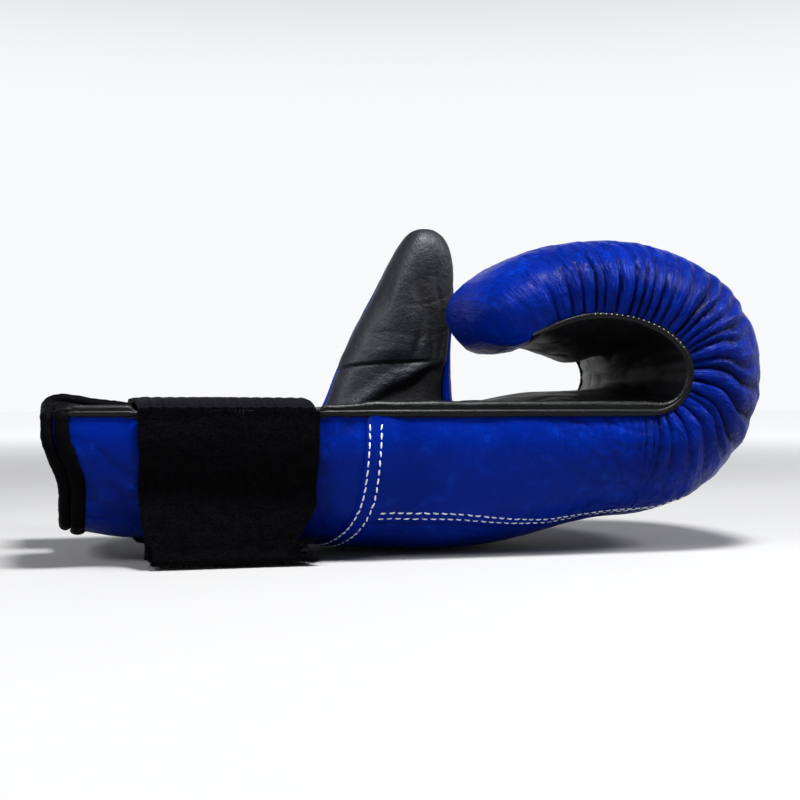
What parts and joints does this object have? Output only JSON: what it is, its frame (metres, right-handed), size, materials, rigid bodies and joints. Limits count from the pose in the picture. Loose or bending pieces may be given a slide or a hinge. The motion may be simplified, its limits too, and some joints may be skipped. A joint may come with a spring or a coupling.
{
  "type": "bag mitt",
  "caption": "Left-hand padded punching-bag mitt: leather shell curled into a fist shape, upright thumb sleeve, foam and lining layers, elastic and hook-and-loop wrist strap.",
  "frame": {"origin": "on the flat of the padded back, where the mitt rests, under the middle of the palm", "axes": "+X from the cuff to the knuckles, +Y to the index finger and thumb side, +Z out of the palm (up, as it lies on its back)"},
  "size_m": [0.2767, 0.1162, 0.13],
  "materials": {
    "blue_leather": "glossy full-grain leather, gathered into pleats round the curl",
    "black_leather": "semi-gloss creased leather",
    "black_piping": "rolled leather piping and binding, satin",
    "foam_padding": "closed-cell foam, matt",
    "lining_cloth": "smooth woven lining",
    "loop_pile": "brushed loop pile tape",
    "hook_tape": "hook tape",
    "ribbed_elastic": "ribbed woven elastic",
    "white_thread": "waxed white sewing thread"
  },
  "bodies": {
    "hand": {"cuff_panel": "blue_leather", "back_panel": "blue_leather", "side_panel_little": "blue_leather", "side_panel_index": "blue_leather", "palm_panel": "black_leather", "piping_little": "black_piping", "piping_index": "black_piping", "cuff_binding": "black_piping", "cuff_foam": "foam_padding", "hand_foam": "foam_padding", "hand_lining": "lining_cloth", "loop_patch": "loop_pile", "elastic_band": "ribbed_elastic", "cuff_seam_thread_a": "white_thread", "cuff_seam_thread_b": "white_thread", "little_seam_thread_a": "white_thread", "little_seam_thread_b": "white_thread", "index_seam_thread_a": "white_thread", "index_seam_thread_b": "white_thread"},
    "fingers": {"finger_back_panel": "blue_leather", "finger_side_little": "blue_leather", "finger_side_index": "blue_leather", "finger_palm_panel": "black_leather", "finger_foam": "foam_padding", "finger_lining": "lining_cloth", "finger_piping_little": "black_piping", "finger_piping_index": "black_piping"},
    "thumb": {"thumb_front_panel": "black_leather", "thumb_base_panel": "black_leather", "thumb_back_panel": "blue_leather", "thumb_foam": "foam_padding", "thumb_lining": "lining_cloth"},
    "strap": {"strap_side": "loop_pile"},
    "strap_tail": {"strap_tail": "loop_pile", "hook_patch": "hook_tape"}
  },
  "joints": [
    {"name": "finger_flex", "type": "hinge", "parent": "hand", "child": "fingers", "pos_m": [0.12352, 0, 0.02649], "axis": [0, 1, 0], "range_deg": [0, 18], "stiffness_Nm_per_rad": 3},
    {"name": "thumb_swing", "type": "hinge", "parent": "hand", "child": "thumb", "pos_m": [0.008, 0.058, 0.052], "axis": [-1, 0, 0], "range_deg": [0, 35], "stiffness_Nm_per_rad": 0.5},
    {"name": "strap_open", "type": "hinge", "parent": "hand", "child": "strap", "pos_m": [-0.073, -0.04705, 0.05011], "axis": [-1, 0, 0], "range_deg": [0, 100]},
    {"name": "tail_fold", "type": "hinge", "parent": "strap", "child": "strap_tail", "pos_m": [-0.07375, -0.0515, 0.002], "axis": [-1, 0, 0], "range_deg": [0, 70]}
  ]
}
